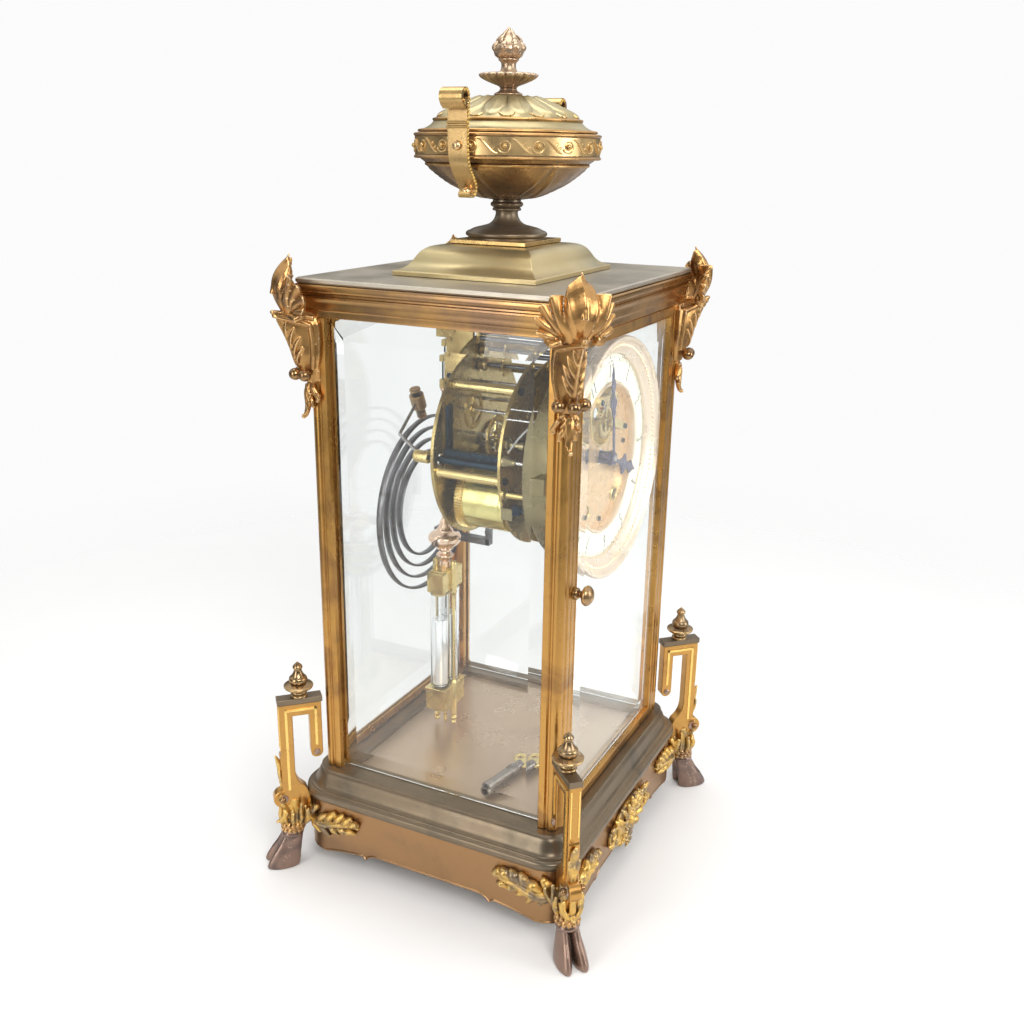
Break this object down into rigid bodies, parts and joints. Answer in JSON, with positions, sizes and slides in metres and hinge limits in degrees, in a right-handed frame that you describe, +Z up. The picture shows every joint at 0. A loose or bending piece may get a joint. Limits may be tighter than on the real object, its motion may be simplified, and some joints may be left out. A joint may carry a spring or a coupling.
{
  "type": "four-glass mantel clock",
  "caption": "Glazed brass mantel clock with hoofed bracket feet, urn top, open-centre dial, striking movement, twin-vial pendulum and coiled gong.",
  "frame": {"origin": "on the ground under the middle of the case", "axes": "+Z up, the dial faces -Y, +X is to the right seen from the front"},
  "size_m": [0.205, 0.194, 0.432],
  "materials": {
    "gilt_brass": "aged orange-gold lacquered brass, satin, brown in the hollows",
    "leaf_gilding": "cast mounts, bright gilding on the high parts and dark patina in the hollows, coppery hooves",
    "dark_bronze": "dark olive-grey patinated mouldings and turnings",
    "olive_brass": "greenish-gold aged brass, satin",
    "satin_plate": "pale tan satin sheet, faintly stained",
    "pale_gilding": "pale gold dial surround with a beaded row",
    "polished_brass": "yellow-green polished movement brass",
    "grey_steel": "dark grey steel",
    "blued_steel": "tempered blue steel",
    "glass": "clear plate glass with bevelled edges, faint green at the edge",
    "vial_glass": "glass tubes of quicksilver",
    "cream_enamel": "glossy cream enamel ring with dark numerals"
  },
  "bodies": {
    "case": {"base_plinth": "gilt_brass", "base_moulding": "dark_bronze", "floor_plate": "satin_plate", "apron_mount_front": "leaf_gilding", "cornice": "gilt_brass", "top_plate": "satin_plate", "dome_base": "olive_brass", "urn_pedestal": "dark_bronze", "urn_bowl": "gilt_brass", "urn_lid": "olive_brass", "urn_finial": "olive_brass", "urn_handle_left": "gilt_brass", "urn_handle_right": "gilt_brass", "glass_left": "glass", "glass_right": "glass", "bezel": "pale_gilding", "chapter_ring": "cream_enamel", "dial_centre": "polished_brass", "front_plate": "polished_brass", "back_plate": "polished_brass", "suspension_bracket": "polished_brass", "gong": "grey_steel", "winding_key": "grey_steel", "corner_post_front_left": "gilt_brass", "corner_leaf_front_left": "leaf_gilding", "foot_front_left": "leaf_gilding", "foot_finial_front_left": "dark_bronze", "corner_post_front_right": "gilt_brass", "corner_leaf_front_right": "leaf_gilding", "foot_front_right": "leaf_gilding", "foot_finial_front_right": "dark_bronze", "corner_post_back_left": "gilt_brass", "corner_leaf_back_left": "leaf_gilding", "foot_back_left": "leaf_gilding", "foot_finial_back_left": "dark_bronze", "corner_post_back_right": "gilt_brass", "corner_leaf_back_right": "leaf_gilding", "foot_back_right": "leaf_gilding", "foot_finial_back_right": "dark_bronze"},
    "front_door": {"front_door_frame": "gilt_brass", "front_door_glass": "glass"},
    "front_knob": {"front_door_knob": "olive_brass"},
    "back_door": {"back_door_frame": "gilt_brass", "back_door_glass": "glass"},
    "centre_arbor": {"centre_wheel": "polished_brass", "minute_hand": "blued_steel"},
    "hour_pipe": {"hour_hand": "blued_steel"},
    "going_barrel": {"going_barrel": "polished_brass"},
    "intermediate_wheel": {"intermediate_wheel": "polished_brass"},
    "third_wheel": {"third_wheel": "polished_brass"},
    "escape_wheel": {"escape_wheel": "polished_brass"},
    "pallets": {"pallets": "grey_steel"},
    "pendulum": {"pendulum_frame": "polished_brass", "mercury_vials": "vial_glass"},
    "strike_barrel": {"strike_barrel": "polished_brass"},
    "strike_second_wheel": {"strike_second_wheel": "polished_brass"},
    "pin_wheel": {"pin_wheel": "polished_brass"},
    "warning_wheel": {"warning_wheel": "polished_brass"},
    "fly": {"fly": "grey_steel"},
    "hammer": {"hammer": "polished_brass"}
  },
  "joints": [
    {"name": "front_door_swing", "type": "hinge", "parent": "case", "child": "front_door", "pos_m": [0.0627, -0.0678, 0.1786], "axis": [0, 0, 1], "range_deg": [0, 110]},
    {"name": "front_knob_turn", "type": "hinge", "parent": "front_door", "child": "front_knob", "pos_m": [-0.0612, -0.0665, 0.18], "axis": [0, 1, 0], "range_deg": [-90, 0]},
    {"name": "back_door_swing", "type": "hinge", "parent": "case", "child": "back_door", "pos_m": [-0.0627, 0.0678, 0.1786], "axis": [0, 0, 1], "range_deg": [0, 110]},
    {"name": "minute_hand_spin", "type": "hinge", "parent": "case", "child": "centre_arbor", "pos_m": [0, 0, 0.2298], "axis": [0, 1, 0], "continuous": true},
    {"name": "hour_hand_spin", "type": "hinge", "parent": "case", "child": "hour_pipe", "pos_m": [0, 0, 0.2298], "axis": [0, 1, 0], "continuous": true},
    {"name": "going_barrel_spin", "type": "hinge", "parent": "case", "child": "going_barrel", "pos_m": [0.0187, 0, 0.2053], "axis": [0, 1, 0], "continuous": true},
    {"name": "strike_barrel_spin", "type": "hinge", "parent": "case", "child": "strike_barrel", "pos_m": [-0.0187, 0, 0.2053], "axis": [0, 1, 0], "continuous": true},
    {"name": "intermediate_spin", "type": "hinge", "parent": "case", "child": "intermediate_wheel", "pos_m": [0.01501, 0, 0.22485], "axis": [0, 1, 0], "continuous": true},
    {"name": "third_spin", "type": "hinge", "parent": "case", "child": "third_wheel", "pos_m": [0.0132, 0, 0.24305], "axis": [0, 1, 0], "continuous": true},
    {"name": "escape_spin", "type": "hinge", "parent": "case", "child": "escape_wheel", "pos_m": [0, 0, 0.2488], "axis": [0, 1, 0], "continuous": true},
    {"name": "strike_second_spin", "type": "hinge", "parent": "case", "child": "strike_second_wheel", "pos_m": [-0.02216, 0, 0.2249], "axis": [0, 1, 0], "continuous": true},
    {"name": "pin_wheel_spin", "type": "hinge", "parent": "case", "child": "pin_wheel", "pos_m": [-0.01845, 0, 0.23871], "axis": [0, 1, 0], "continuous": true},
    {"name": "warning_spin", "type": "hinge", "parent": "case", "child": "warning_wheel", "pos_m": [-0.02024, 0, 0.25139], "axis": [0, 1, 0], "continuous": true},
    {"name": "fly_spin", "type": "hinge", "parent": "case", "child": "fly", "pos_m": [-0.00943, 0, 0.25532], "axis": [0, 1, 0], "continuous": true},
    {"name": "pendulum_swing", "type": "hinge", "parent": "case", "child": "pendulum", "pos_m": [0, 0.0355, 0.275], "axis": [0, 1, 0], "range_deg": [-2.5, 2.5]},
    {"name": "pallet_rock", "type": "hinge", "parent": "case", "child": "pallets", "pos_m": [0, 0, 0.2618], "axis": [0, 1, 0], "range_deg": [-3.6, 3.6]},
    {"name": "hammer_lift", "type": "hinge", "parent": "case", "child": "hammer", "pos_m": [-0.042, 0.02, 0.2295], "axis": [0, 1, 0], "range_deg": [-14, 0], "stiffness_Nm_per_rad": 0.01, "springref_deg": 8.59}
  ],
  "couplings": [
    {"joint": "hour_hand_spin", "follows": "minute_hand_spin", "ratio": 0.083333},
    {"joint": "intermediate_spin", "follows": "minute_hand_spin", "ratio": -0.2},
    {"joint": "going_barrel_spin", "follows": "minute_hand_spin", "ratio": 0.028571},
    {"joint": "third_spin", "follows": "minute_hand_spin", "ratio": -12},
    {"joint": "strike_second_spin", "follows": "pin_wheel_spin", "ratio": -0.16667},
    {"joint": "strike_barrel_spin", "follows": "pin_wheel_spin", "ratio": 0.02381},
    {"joint": "warning_spin", "follows": "pin_wheel_spin", "ratio": -7.5},
    {"joint": "fly_spin", "follows": "pin_wheel_spin", "ratio": 60},
    {"joint": "pallet_rock", "follows": "pendulum_swing", "ratio": 1.3905}
  ]
}
